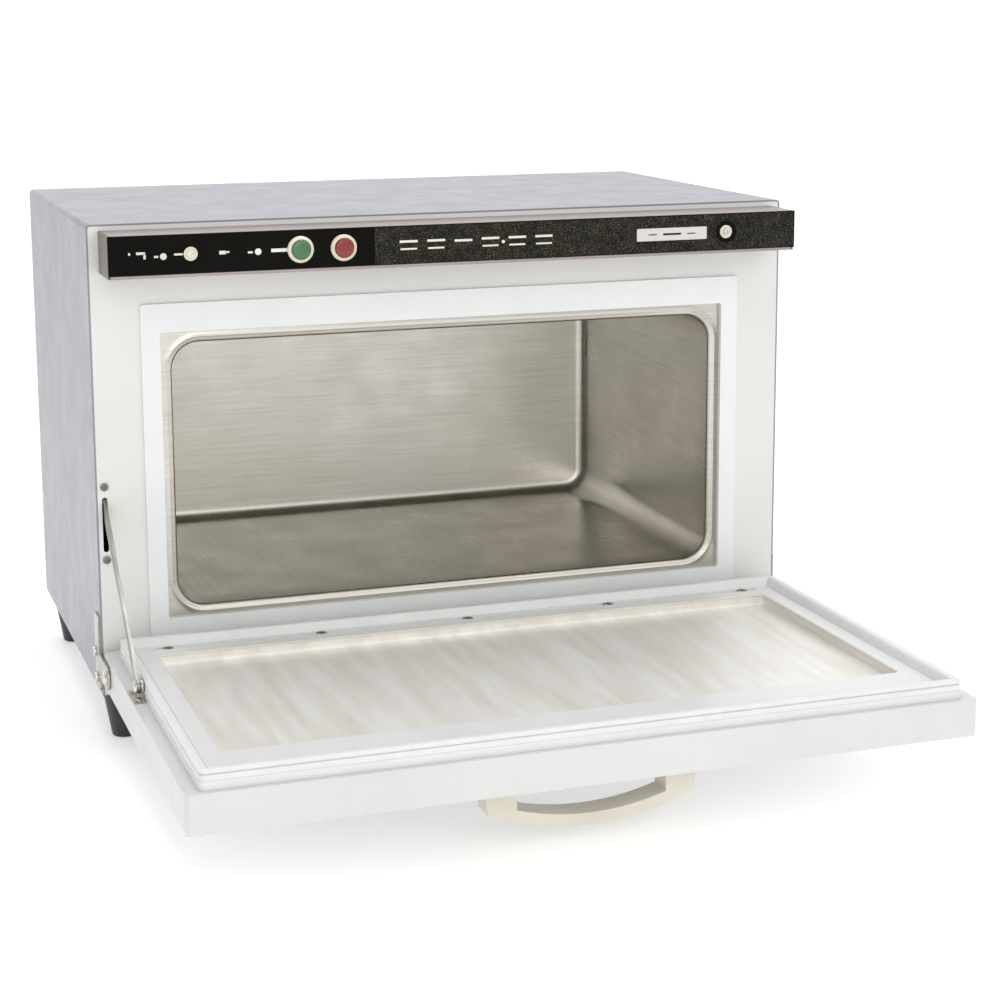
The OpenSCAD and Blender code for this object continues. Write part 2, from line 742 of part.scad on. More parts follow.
module handle_outline() {
    outer_sag = handle_out - handle_end_drop;
    outer_r = (handle_foot * handle_foot + outer_sag * outer_sag) / (2 * outer_sag);
    grip_sag = grip_mid_drop - grip_end_drop;
    grip_r = (grip_half * grip_half + grip_sag * grip_sag) / (2 * grip_sag);
    difference() {
        intersection() {
            polygon([[-handle_half, skin_z0], [handle_half, skin_z0], [handle_foot, skin_z0 - handle_end_drop],
                [handle_foot, skin_z0 - handle_out], [-handle_foot, skin_z0 - handle_out],
                [-handle_foot, skin_z0 - handle_end_drop]]);
            translate([0, skin_z0 - handle_out + outer_r]) circle(outer_r, $fn = 256);
        }
        intersection() {
            square_yz([-grip_half, skin_z0 - handle_out], [grip_half, skin_z0 + cut]);
            translate([0, skin_z0 - grip_mid_drop + grip_r]) circle(grip_r, $fn = 256);
        }
    }
}

module handle_screws() color("silver") at_front() handle_screw_places()
    screw(4, 2, handle_screw_r, skin_t + handle_screw_len);

module liner_screws() color("gray") at_front() liner_screw_places() translate([0, 0, channel_z])
    screw(3.4, 1.6, liner_screw_r, channel_z - skin_z1 + skin_t);

// ---- stay ----

module at_stay() translate([0, stay_b[0], stay_b[1]]) rotate([stay_angle, 0, 0]) children();

module stay_bracket() color("silver") at_front() difference() {
    union() {
        box([-door_half + 0.5, stay_b[0] - foot_half, skin_z1],
            [bracket_x + bracket_t, stay_b[0] + foot_half, skin_z1 + bracket_foot]);
        along_x(bracket_x, bracket_x + bracket_t) {
            square_yz([stay_b[0] - bracket_half, skin_z1], [stay_b[0] + bracket_half, stay_b[1]]);
            translate(stay_b) circle(bracket_half - 0.01);
        }
    }
    translate([bracket_x, stay_b[0], stay_b[1]]) rotate([0, 90, 0]) hole_z(rivet_r);
    stay_bracket_screw_places() hole_z(bracket_screw_r + 0.1);
}

module stay_bracket_screws() color("silver") at_front() stay_bracket_screw_places()
    translate([0, 0, bracket_foot]) screw(1.9, 1.2, bracket_screw_r, skin_t + bracket_foot);

// The rivet is fixed in the bracket and the arm turns on it.
module stay_pivot_rivet() color("silver") at_front() translate([0, stay_b[0], stay_b[1]]) rotate([0, 90, 0]) {
    translate([0, 0, stay_x - slip]) cylinder(r = rivet_r, h = bracket_x + bracket_t - stay_x + slip);
    translate([0, 0, stay_x - slip - rivet_head]) cylinder(r1 = 3.4, r2 = 4.2, h = rivet_head);
}

module stay_arm() color("silver") at_front() at_stay() difference() {
    along_x(stay_x, stay_x + stay_t) {
        square_yz([0, -stay_half], [stay_len + stay_tail - stay_half, stay_half]);
        circle(stay_half - 0.01);
        translate([stay_len + stay_tail - stay_half, 0]) circle(stay_half - 0.01);
    }
    translate([stay_x - cut, 0, 0]) rotate([0, 90, 0]) cylinder(r = rivet_r + bush_gap, h = stay_t + 2 * cut);
    translate([stay_x - cut, stay_len, 0]) rotate([0, 90, 0]) cylinder(r = stop_r, h = stay_t + 2 * cut);
}

module stay_stop_pin() color("silver") at_front() at_stay()
    translate([stay_x - 1.5, stay_len, 0]) rotate([0, 90, 0]) cylinder(r = stop_r, h = stay_t + 3);

module stay_guide() color("silver") at_front() difference() {
    x = stay_x + stay_t / 2;
    along_y(frame_t, frame_t + 1.2)
        square_yz([x - guide_left, guide_screws[0] - guide_end],
            [x + guide_right, guide_screws[1] + guide_end]);
    along_y(-cut, 3 * frame_t) stay_slot(slot_w + 0.6, 1);
    guide_screw_places() hole_y(hole_r);
}

module stay_guide_screws() color("gray") at_front() guide_screw_places()
    facing_front() screw(2.6, 1.2, screw_r, frame_t + 3);

outer_case();
back_panel();
base_plate();
front_frame();
seal_frame();
inner_tank();
insulation();
heater_plate();
heater_element();
heater_brackets();
thermostat();
thermal_fuse();
terminal_block();
wiring_loom();
cord_gland();
control_bar();
bar_end_caps();
fascia_strip();
control_label();
name_plate();
button_bezels();
green_button();
red_button();
switch_bodies();
bar_screws();
bar_screw_washers();
hinge_plate_left();
hinge_plate_right();
hinge_pins();
hinge_plate_screws();
stay_guide();
stay_guide_screws();
feet();
foot_screws();
back_panel_screws();
tank_screws();
door_skin();
door_liner();
door_gasket();
gasket_magnet();
door_pan();
door_insulation();
door_handle();
handle_screws();
hinge_bushes();
hinge_blocks();
liner_screws();
stay_bracket();
stay_bracket_screws();
stay_pivot_rivet();
stay_arm();
stay_stop_pin();
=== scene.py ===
"""Looks for the hot towel cabinet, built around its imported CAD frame."""
import json
import math

import bmesh
import bpy
from mathutils import Euler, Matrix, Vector
from mathutils.noise import noise as smooth_noise


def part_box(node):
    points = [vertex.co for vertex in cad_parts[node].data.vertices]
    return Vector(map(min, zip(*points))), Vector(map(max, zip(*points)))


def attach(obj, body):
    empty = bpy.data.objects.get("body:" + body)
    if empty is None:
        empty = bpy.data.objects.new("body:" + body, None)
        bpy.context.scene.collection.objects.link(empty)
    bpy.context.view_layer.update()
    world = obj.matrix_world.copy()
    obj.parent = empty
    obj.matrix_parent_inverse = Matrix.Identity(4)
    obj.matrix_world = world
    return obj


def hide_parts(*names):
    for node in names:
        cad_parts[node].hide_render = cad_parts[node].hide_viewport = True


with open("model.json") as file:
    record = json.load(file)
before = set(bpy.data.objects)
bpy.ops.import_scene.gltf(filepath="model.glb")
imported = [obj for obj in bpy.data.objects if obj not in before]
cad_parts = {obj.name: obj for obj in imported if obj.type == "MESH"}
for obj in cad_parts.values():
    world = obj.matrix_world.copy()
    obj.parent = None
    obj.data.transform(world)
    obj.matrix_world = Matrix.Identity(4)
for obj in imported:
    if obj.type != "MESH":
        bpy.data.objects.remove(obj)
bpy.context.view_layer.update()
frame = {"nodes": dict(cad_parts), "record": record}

MM = 0.001

# Camera that matches the photograph's view: place, turn to the right, tilt down and roll
CAMERA_PLACE = (-0.43479, -1.49410, 0.47711)
CAMERA_TURN = -0.333
CAMERA_TILT = 0.182
CAMERA_ROLL = -0.004
CAMERA_LENS = 77.6
SENSOR = 36.0
CAMERA_SHIFT_Y = -0.100


# ---------------------------------------------------------------- materials

def new_material(name, color, rough, metal=0.0, **constants):
    """A principled material; constants are set on the shader's own sockets."""
    material = bpy.data.materials.new(name)
    material.use_nodes = True
    shader = material.node_tree.nodes["Principled BSDF"]
    shader.inputs["Base Color"].default_value = (*color, 1)
    shader.inputs["Roughness"].default_value = rough
    shader.inputs["Metallic"].default_value = metal
    for socket, value in constants.items():
        shader.inputs[socket.replace("_", " ")].default_value = value
    return material


def add_node(material, kind, **values):
    node = material.node_tree.nodes.new(kind)
    for name, value in values.items():
        if hasattr(node, name):
            setattr(node, name, value)
        else:
            node.inputs[name.replace("_", " ")].default_value = value
    return node


def link(material, source, target):
    material.node_tree.links.new(source, target)


def shader_of(material):
    return material.node_tree.nodes["Principled BSDF"]


def noise_at(material, scale, stretch=(1, 1, 1), detail=3.0, distortion=0.0):
    """Noise in object space; scale counts features per metre, and stretch draws them out along an axis."""
    place = add_node(material, "ShaderNodeTexCoord")
    mapping = add_node(material, "ShaderNodeMapping")
    mapping.inputs["Scale"].default_value = [scale / s for s in stretch]
    link(material, place.outputs["Object"], mapping.inputs["Vector"])
    grain = add_node(material, "ShaderNodeTexNoise", Scale=1.0, Detail=detail, Distortion=distortion)
    link(material, mapping.outputs["Vector"], grain.inputs["Vector"])
    return grain.outputs["Fac"]


def color_between(material, factor, dark, light, low=0.3, high=0.7):
    """Feeds the base colour from a ramp between two colours."""
    ramp = add_node(material, "ShaderNodeValToRGB")
    ramp.color_ramp.elements[0].position = low
    ramp.color_ramp.elements[0].color = (*dark, 1)
    ramp.color_ramp.elements[1].position = high
    ramp.color_ramp.elements[1].color = (*light, 1)
    link(material, factor, ramp.inputs["Fac"])
    link(material, ramp.outputs["Color"], shader_of(material).inputs["Base Color"])


def rough_between(material, factor, low, high):
    spread = add_node(material, "ShaderNodeMapRange")
    spread.inputs["From Min"].default_value = 0.3
    spread.inputs["From Max"].default_value = 0.7
    spread.inputs["To Min"].default_value = low
    spread.inputs["To Max"].default_value = high
    link(material, factor, spread.inputs["Value"])
    link(material, spread.outputs["Result"], shader_of(material).inputs["Roughness"])


def bump_from(material, height, distance, strength=1.0):
    """Adds a bump of a given depth in metres on top of any bump made before."""
    bump = add_node(material, "ShaderNodeBump", Distance=distance, Strength=strength)
    link(material, height, bump.inputs["Height"])
    normal = shader_of(material).inputs["Normal"]
    if normal.is_linked:
        link(material, normal.links[0].from_socket, bump.inputs["Normal"])
    link(material, bump.outputs["Normal"], normal)


def painted(name, dark, light, rough):
    """Baked enamel on sheet steel: slow drift of tone and a fine orange peel."""
    material = new_material(name, light, rough, Coat_Weight=0.25, Coat_Roughness=0.2)
    color_between(material, noise_at(material, 9, detail=6), dark, light)
    rough_between(material, noise_at(material, 40), rough - 0.05, rough + 0.07)
    bump_from(material, noise_at(material, 420, detail=1), 0.00006, 0.5)
    bump_from(material, noise_at(material, 14, detail=1), 0.0006, 0.12)
    return material


def moulded(name, dark, light, rough, coat=0.0, specular=0.5):
    """Moulded plastic: a faint flow tone and a fine tool texture."""
    material = new_material(name, light, rough, Coat_Weight=coat, Coat_Roughness=0.12,
                            Specular_IOR_Level=specular)
    color_between(material, noise_at(material, 25, detail=4), dark, light)
    rough_between(material, noise_at(material, 120), rough - 0.04, rough + 0.05)
    bump_from(material, noise_at(material, 900, detail=2), 0.00002, 0.5)
    return material


def brushed(name, dark, light, rough, stretch, lines=1500):
    """Brushed metal: fine lines drawn out along one axis."""
    material = new_material(name, light, rough, metal=1.0)
    grain = noise_at(material, lines, stretch, detail=2)
    color_between(material, grain, dark, light)
    rough_between(material, noise_at(material, lines / 6, stretch, detail=4), rough - 0.05, rough + 0.06)
    bump_from(material, grain, 0.00001, 0.4)
    return material


def by_slope(material, upright, level):
    """Mixes two patterns: one on upright faces and one on level faces."""
    geometry = add_node(material, "ShaderNodeNewGeometry")
    split = add_node(material, "ShaderNodeSeparateXYZ")
    link(material, geometry.outputs["Normal"], split.inputs["Vector"])
    steep = add_node(material, "ShaderNodeMath", operation="ABSOLUTE")
    link(material, split.outputs["Z"], steep.inputs[0])
    mix = add_node(material, "ShaderNodeMix", data_type="FLOAT")
    link(material, steep.outputs["Value"], mix.inputs[0])
    link(material, upright, mix.inputs[2])
    link(material, level, mix.inputs[3])
    return mix.outputs[0]


def tank_sheet(name, dark, light, rough):
    """Formed steel sheet: level lines on its walls, front-to-back lines on its floor and roof, soft dents."""
    material = new_material(name, light, rough, metal=1.0)
    walls = noise_at(material, 700, (40, 40, 1), detail=2)
    floor = noise_at(material, 700, (1, 40, 1), detail=2)
    grain = by_slope(material, walls, floor)
    color_between(material, grain, dark, light, 0.2, 0.8)
    rough_between(material, noise_at(material, 30, detail=3), rough - 0.04, rough + 0.06)
    bump_from(material, grain, 0.000006, 0.4)
    bump_from(material, noise_at(material, 16, detail=1), 0.0009, 0.4)
    return material


def pan_sheet(name):
    """Bright rolled sheet: wide warm and cool streaks of painted reflection from front to back, with thin darker
    ones between.
    """
    material = new_material(name, (0.86, 0.84, 0.79), 0.45, metal=0.35)
    # painted reflection: wide warm and cool streaks of colour stand in for smeared reflections on the sheet
    painted_reflection_streaks = noise_at(material, 90, (1, 9, 1), detail=6, distortion=0.2)
    color_between(material, painted_reflection_streaks, (0.76, 0.73, 0.67), (0.88, 0.865, 0.825), 0.3, 0.64)
    streaks = noise_at(material, 420, (1, 30, 1), detail=3)
    rough_between(material, streaks, 0.38, 0.5)
    bump_from(material, streaks, 0.00002, 0.3)
    bump_from(material, noise_at(material, 14, (1, 2.5, 1), detail=1), 0.0006, 0.3)
    return material


def plated(name, dark, light, rough):
    """Polished or plated metal with a little tarnish."""
    material = new_material(name, light, rough, metal=1.0)
    color_between(material, noise_at(material, 260, detail=5), dark, light)
    rough_between(material, noise_at(material, 500), rough - 0.03, rough + 0.1)
    bump_from(material, noise_at(material, 700, detail=2), 0.00002, 0.4)
    return material


def rubbery(name, dark, light, rough):
    material = new_material(name, light, rough, Sheen_Weight=0.15)
    color_between(material, noise_at(material, 60, detail=5), dark, light)
    rough_between(material, noise_at(material, 300), rough - 0.05, rough + 0.08)
    bump_from(material, noise_at(material, 1300, detail=3), 0.00005, 0.6)
    return material


def fibrous(name, dark, light):
    """Glass wool: matted fibres."""
    material = new_material(name, light, 0.95, Sheen_Weight=0.4)
    fibres = noise_at(material, 700, (5, 5, 1), detail=6, distortion=2.0)
    color_between(material, fibres, dark, light)
    bump_from(material, fibres, 0.0008, 1.0)
    return material


def leather_film(name):
    """Textured brown-black film: closed cells with soft seams between them, in uneven patches; the colour darkens in
    the seams as painted shade.
    """
    material = new_material(name, (0.02, 0.017, 0.014), 0.4, Specular_IOR_Level=0.12)
    place = add_node(material, "ShaderNodeTexCoord")
    cells = add_node(material, "ShaderNodeTexVoronoi", feature="DISTANCE_TO_EDGE", Scale=620.0)
    link(material, place.outputs["Object"], cells.inputs["Vector"])
    patches = add_node(material, "ShaderNodeMath", operation="MULTIPLY")
    link(material, cells.outputs["Distance"], patches.inputs[0])
    link(material, noise_at(material, 160, detail=4), patches.inputs[1])
    # painted shade: the colour darkens in the seams between the cells; the uneven random patches are the film's own
    # tone
    color_between(material, patches.outputs["Value"], (0.005, 0.0045, 0.003), (0.095, 0.088, 0.06), 0.02, 0.30)
    rough_between(material, noise_at(material, 200), 0.32, 0.5)
    bump_from(material, cells.outputs["Distance"], 0.00015, 0.8)
    return material


def make_materials():
    """One material for each finish, by the record's slot names."""
    return {
        "case_paint": painted("case_paint", (0.240, 0.239, 0.272), (0.257, 0.256, 0.291), 0.42),
        "back_steel": painted("back_steel", (0.40, 0.41, 0.44), (0.45, 0.46, 0.49), 0.5),
        "front_white": painted("front_white", (0.69, 0.685, 0.665), (0.74, 0.735, 0.72), 0.38),
        "door_white": painted("door_white", (0.595, 0.593, 0.582), (0.64, 0.638, 0.627), 0.36),
        "frame_plastic": moulded("frame_plastic", (0.75, 0.77, 0.765), (0.79, 0.81, 0.805), 0.32, coat=0.2),
        "liner_plastic": moulded("liner_plastic", (0.69, 0.695, 0.685), (0.73, 0.735, 0.725), 0.33, coat=0.15),
        "gasket_white": rubbery("gasket_white", (0.69, 0.695, 0.68), (0.73, 0.735, 0.72), 0.42),
        "handle_ivory": moulded("handle_ivory", (0.62, 0.575, 0.48), (0.69, 0.645, 0.555), 0.34, coat=0.2),
        "tank_steel": tank_sheet("tank_steel", (0.50, 0.48, 0.43), (0.62, 0.60, 0.55), 0.3),
        "pan_steel": pan_sheet("pan_steel"),
        "bar_aluminium": brushed("bar_aluminium", (0.30, 0.25, 0.24), (0.41, 0.35, 0.34), 0.36, (60, 1, 1)),
        "spreader_aluminium": brushed("spreader_aluminium", (0.6, 0.6, 0.6), (0.75, 0.75, 0.76), 0.4, (30, 1, 1)),
        "cap_olive": moulded("cap_olive", (0.115, 0.105, 0.07), (0.17, 0.155, 0.11), 0.4),
        "fascia_black": moulded("fascia_black", (0.002, 0.002, 0.0015), (0.005, 0.0045, 0.0035), 0.3, specular=0.06),
        "label_brown": leather_film("label_brown"),
        "plate_white": moulded("plate_white", (0.58, 0.545, 0.52), (0.64, 0.60, 0.575), 0.3),
        "bezel_cream": moulded("bezel_cream", (0.66, 0.60, 0.46), (0.76, 0.71, 0.58), 0.28, coat=0.3),
        "button_green": moulded("button_green", (0.03, 0.10, 0.035), (0.055, 0.17, 0.06), 0.22, coat=0.5),
        "button_red": moulded("button_red", (0.19, 0.010, 0.008), (0.26, 0.018, 0.014), 0.24, coat=0.3),
        "screw_chrome": plated("screw_chrome", (0.55, 0.50, 0.43), (0.80, 0.77, 0.72), 0.16),
        "screw_dark": plated("screw_dark", (0.14, 0.13, 0.12), (0.3, 0.28, 0.26), 0.35),
        "hinge_steel": plated("hinge_steel", (0.36, 0.34, 0.31), (0.56, 0.53, 0.49), 0.28),
        "zinc_steel": plated("zinc_steel", (0.50, 0.50, 0.47), (0.66, 0.66, 0.63), 0.3),
        "stay_steel": brushed("stay_steel", (0.24, 0.23, 0.20), (0.46, 0.45, 0.40), 0.3, (1, 30, 30)),
        "heater_steel": plated("heater_steel", (0.10, 0.10, 0.10), (0.28, 0.26, 0.24), 0.5),
        "fuse_brass": plated("fuse_brass", (0.55, 0.42, 0.18), (0.76, 0.6, 0.3), 0.25),
        "ceramic_white": moulded("ceramic_white", (0.74, 0.72, 0.66), (0.82, 0.80, 0.75), 0.55),
        "black_plastic": moulded("black_plastic", (0.012, 0.012, 0.012), (0.03, 0.03, 0.03), 0.45),
        "cable_black": rubbery("cable_black", (0.012, 0.012, 0.012), (0.03, 0.03, 0.03), 0.5),
        "foot_rubber": rubbery("foot_rubber", (0.008, 0.008, 0.007), (0.025, 0.025, 0.022), 0.5),
        "magnet_rubber": rubbery("magnet_rubber", (0.06, 0.035, 0.02), (0.14, 0.09, 0.06), 0.7),
        "bush_nylon": moulded("bush_nylon", (0.66, 0.6, 0.44), (0.76, 0.71, 0.56), 0.4),
        "wool": fibrous("wool", (0.55, 0.47, 0.2), (0.84, 0.77, 0.5)),
        "legend_ink": moulded("legend_ink", (0.60, 0.58, 0.50), (0.80, 0.78, 0.70), 0.6),
    }


# ---------------------------------------------------------------- CAD nodes

def soften(node, width):
    """Rounds the sharp edges of a CAD node without touching its mesh."""
    piece = frame["nodes"][node]
    weld = piece.modifiers.new("weld", "WELD")
    weld.merge_threshold = 0.00001
    flat = piece.modifiers.new("join flat faces", "DECIMATE")
    flat.decimate_type = "DISSOLVE"
    flat.angle_limit = math.radians(0.4)
    bevel = piece.modifiers.new("round edges", "BEVEL")
    bevel.width = width
    bevel.segments = 3
    bevel.limit_method = "ANGLE"
    bevel.angle_limit = math.radians(35)
    bevel.harden_normals = True


SOFT_EDGES = {
    "door_skin": 1.8 * MM, "door_liner": 1.1 * MM, "door_handle": 3.2 * MM, "seal_frame": 0.7 * MM,
    "outer_case": 0.5 * MM, "front_frame": 0.4 * MM, "control_bar": 0.35 * MM, "bar_end_caps": 0.5 * MM,
    "fascia_strip": 0.4 * MM, "name_plate": 0.15 * MM, "button_bezels": 0.35 * MM, "green_button": 0.4 * MM,
    "red_button": 0.4 * MM, "bar_screws": 0.15 * MM, "bar_screw_washers": 0.15 * MM,
    "hinge_plate_left": 0.3 * MM, "hinge_plate_right": 0.3 * MM, "hinge_pins": 0.4 * MM,
    "hinge_plate_screws": 0.3 * MM, "stay_bracket": 0.3 * MM, "stay_arm": 0.35 * MM,
    "stay_pivot_rivet": 0.35 * MM, "stay_guide_screws": 0.2 * MM, "liner_screws": 0.5 * MM,
    "back_panel_screws": 0.3 * MM, "cord_gland": 0.5 * MM, "base_plate": 0.3 * MM, "feet": 1.5 * MM,
}


def dress_cad_nodes(materials):
    slots = {part["node"]: part["material_slot"] for part in frame["record"]["subparts"]}
    for name, piece in frame["nodes"].items():
        piece.data.materials.clear()
        piece.data.materials.append(materials[slots[name]])
    for name, width in SOFT_EDGES.items():
        soften(name, width)


# ---------------------------------------------------------------- mesh tools

def build(name, verts, faces, material, smooth=True):
    mesh = bpy.data.meshes.new(name)
    mesh.from_pydata(verts, [], faces)
    mesh.validate()
    work = bmesh.new()
    work.from_mesh(mesh)
    bmesh.ops.remove_doubles(work, verts=work.verts, dist=0.000001)
    bmesh.ops.recalc_face_normals(work, faces=work.faces)
    work.to_mesh(mesh)
    work.free()
    if smooth:
        mesh.polygons.foreach_set("use_smooth", [True] * len(mesh.polygons))
    mesh.materials.append(material)
    piece = bpy.data.objects.new(name, mesh)
    bpy.context.scene.collection.objects.link(piece)
    return piece


def smooth_by_angle(piece, degrees=40):
    """Keeps edges sharper than the angle crisp."""
    for polygon in piece.data.polygons:
        polygon.use_smooth = True
    work = bmesh.new()
    work.from_mesh(piece.data)
    for edge in work.edges:
        edge.smooth = edge.calc_face_angle(math.pi) < math.radians(degrees)
    work.to_mesh(piece.data)
    work.free()


def round_loop(low, high, radius, corner_steps=6, side_steps=(1, 1)):
    """Points round a rectangle with round corners, counter-clockwise."""
    radius = max(radius, 0.00001)
    centres = [(high[0] - radius, high[1] - radius), (low[0] + radius, high[1] - radius),
               (low[0] + radius, low[1] + radius), (high[0] - radius, low[1] + radius)]
    points = []
    for quarter, (cx, cy) in enumerate(centres):
        for step in range(corner_steps + 1):
            turn = math.pi / 2 * (quarter + step / corner_steps)
            points.append((cx + radius * math.cos(turn), cy + radius * math.sin(turn)))
        nx, ny = centres[(quarter + 1) % 4]
        turn = math.pi / 2 * (quarter + 1)
        start = points[-1]
        end = (nx + radius * math.cos(turn), ny + radius * math.sin(turn))
        steps = side_steps[quarter % 2]
        for step in range(1, steps):
            f = step / steps
            points.append((start[0] + (end[0] - start[0]) * f, start[1] + (end[1] - start[1]) * f))
    return points


def swept_frame(name, low, high, radius, profile, material):
    """Sweeps a closed profile of (inset, height) points round a rectangle that lies level."""
    loops = []
    for inset, height in profile:
        inner_low = (low[0] + inset, low[1] + inset)
        inner_high = (high[0] - inset, high[1] - inset)
        loops.append([(u, v, height) for u, v in round_loop(inner_low, inner_high, radius - inset)])
    count = len(loops[0])
    verts = [point for loop in loops for point in loop]
    faces = []
    for row in range(len(loops)):
        after = (row + 1) % len(loops)
        for i in range(count):
            j = (i + 1) % count
            faces.append((row * count + i, row * count + j, after * count + j, after * count + i))
    return build(name, verts, faces, material)


def arc(cx, cy, radius, start, end, steps=5):
    """Profile points on an arc, angles in degrees."""
    return [(cx + radius * math.cos(math.radians(start + (end - start) * i / steps)),
             cy + radius * math.sin(math.radians(start + (end - start) * i / steps))) for i in range(steps + 1)]


def skin_loops(name, loops, material):
    """Skins a stack of loops that have the same number of points, and closes the last one."""
    count = len(loops[0])
    verts = [point for loop in loops for point in loop]
    faces = []
    for row in range(len(loops) - 1):
        for i in range(count):
            j = (i + 1) % count
            faces.append((row * count + i, row * count + j, (row + 1) * count + j, (row + 1) * count + i))
    faces.append([(len(loops) - 1) * count + i for i in range(count)])
    return build(name, verts, faces, material)


def thicken(piece, thickness, side):
    """Gives a sheet its thickness on one side; side is 1 or -1."""
    solid = piece.modifiers.new("sheet thickness", "SOLIDIFY")
    solid.thickness = thickness
    solid.offset = side
    solid.use_even_offset = True


# ---------------------------------------------------------------- formed pieces

SHEET = 1.0 * MM            # nominal sheet of the tank and the pan
DRAWN_SHEET = 0.9 * SHEET   # a little thinner, so that the visual stays inside the CAD
STAY_HALF = 4.2 * MM        # half the width of the stay arm


def make_tank(material):
    """Towel tank: flange, raised bead round the mouth, rolled edge, straight walls and a coved back."""
    low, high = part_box("inner_tank")
    side_flange, bottom_flange, corner, rim = 17.8 * MM, 16.0 * MM, 18.0 * MM, 7.6 * MM
    mouth_low = (low[0] + side_flange, low[2] + bottom_flange)
    mouth_high = (high[0] - side_flange, high[2] - side_flange)
    face, back = low[1], high[1] - SHEET
    roll, cove, bead, bead_width = 3.0 * MM, 7.0 * MM, 0.6 * MM, 2.2 * MM

    def ring(outset, y):
        ring_low = (mouth_low[0] - outset, mouth_low[1] - outset)
        ring_high = (mouth_high[0] + outset, mouth_high[1] + outset)
        return [(u, y, v) for u, v in round_loop(ring_low, ring_high, corner + outset, corner_steps=12)]

    edge = round_loop((low[0], low[2]), (high[0], high[2]), 4 * MM, corner_steps=12)
    loops = [[(u, face, v) for u, v in edge], ring(rim, face)]
    loops += [ring(roll + bead_width - t * bead_width, face - bead * math.sin(math.pi * t))
              for t in (0.15, 0.35, 0.5, 0.65, 0.85)]
    loops += [ring(roll - roll * math.sin(a), face + roll - roll * math.cos(a))
              for a in (math.pi / 2 * i / 6 for i in range(7))]
    loops += [ring(0, face + (back - cove - face) * f) for f in (0.1, 0.4, 0.7, 1.0)]
    loops += [ring(-cove + cove * math.cos(a), back - cove + cove * math.sin(a))
              for a in (math.pi / 2 * i / 6 for i in range(1, 7))]
    piece = skin_loops("tank_shell", loops, material)
    smooth_by_angle(piece, 50)
    thicken(piece, DRAWN_SHEET, outward_side(piece, (0, (face + back) / 2, (low[2] + high[2]) / 2)))
    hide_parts("inner_tank")
    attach(piece, "cabinet")


def outward_side(piece, inside):
    """Says on which side of a sheet's faces the outside lies, for a sheet that wraps a given point."""
    polygon = piece.data.polygons[-1]
    away = (polygon.center - Vector(inside)).dot(polygon.normal)
    return 1 if away > 0 else -1


def make_pan(material):
    """Door pan: folded rim, round bends and a floor with a faint crown."""
    low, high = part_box("door_pan")
    bend, corner = 2.2 * MM, 5.0 * MM
    floor = low[2] + SHEET

    def ring(inset, z):
        inset += SHEET
        points = round_loop((low[0] + inset, low[1] + inset), (high[0] - inset, high[1] - inset),
                            max(corner - inset, 0.4 * MM), corner_steps=8, side_steps=(24, 12))
        return [(u, v, z) for u, v in points]

    loops = [ring(0, high[2]), ring(0, high[2] - 1.5 * MM)]
    loops += [ring(bend - bend * math.cos(a), floor + bend - bend * math.sin(a))
              for a in (math.pi / 2 * i / 6 for i in range(7))]
    centre = ((low[0] + high[0]) / 2, (low[1] + high[1]) / 2)
    rim = ring(bend, floor)
    for f in (0.94, 0.86, 0.7, 0.5, 0.3, 0.12):
        crown = 0.5 * MM * (1 - f) * f
        loops.append([(centre[0] + (x - centre[0]) * f, centre[1] + (y - centre[1]) * f,
                       z + crown + 0.18 * MM * smooth_noise((x * f * 22, y * f * 22, 5)) * (1 - f))
                      for x, y, z in rim])
    piece = skin_loops("door_tray", loops, material)
    smooth_by_angle(piece, 50)
    inside = (centre[0], centre[1], high[2])
    thicken(piece, DRAWN_SHEET, outward_side(piece, inside))
    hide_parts("door_pan")
    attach(piece, "door")


def make_gasket(material):
    """Door seal: a magnet tube over a fine groove, with a flank that slopes down to the rim inside it."""
    low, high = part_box("door_gasket")
    base, top = low[2], high[2]
    rise = top - base
    profile = [(0.0, 0.0), (0.0, 0.48), (0.2, 0.53), (1.1, 0.56), (1.1, 0.63), (0.25, 0.66), (0.0, 0.71),
               (0.0, 0.88), (0.2, 0.95), (0.7, 1.0), (4.4, 1.0), (5.3, 0.95), (6.3, 0.66), (7.2, 0.33), (8.0, 0.19),
               (8.0, 0.0)]
    profile = [(inset * MM, base + rise * up) for inset, up in profile]
    piece = swept_frame("door_seal", low[:2], high[:2], 4 * MM, profile, material)
    smooth_by_angle(piece, 60)
    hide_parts("door_gasket")
    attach(piece, "door")


def make_liner_bead(material):
    """Soft bead of sealant between the door liner and its pan."""
    low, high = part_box("door_pan")
    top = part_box("door_liner")[1][2]
    radius = 0.55 * MM
    centre_inset = SHEET + 0.7 * MM
    profile = [(centre_inset + x, top - 0.75 * MM + z) for x, z in arc(0, 0, radius, 0, 360, 10)[:-1]]
    piece = swept_frame("pan_bead", low[:2], high[:2], 4 * MM, profile, material)
    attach(piece, "door")


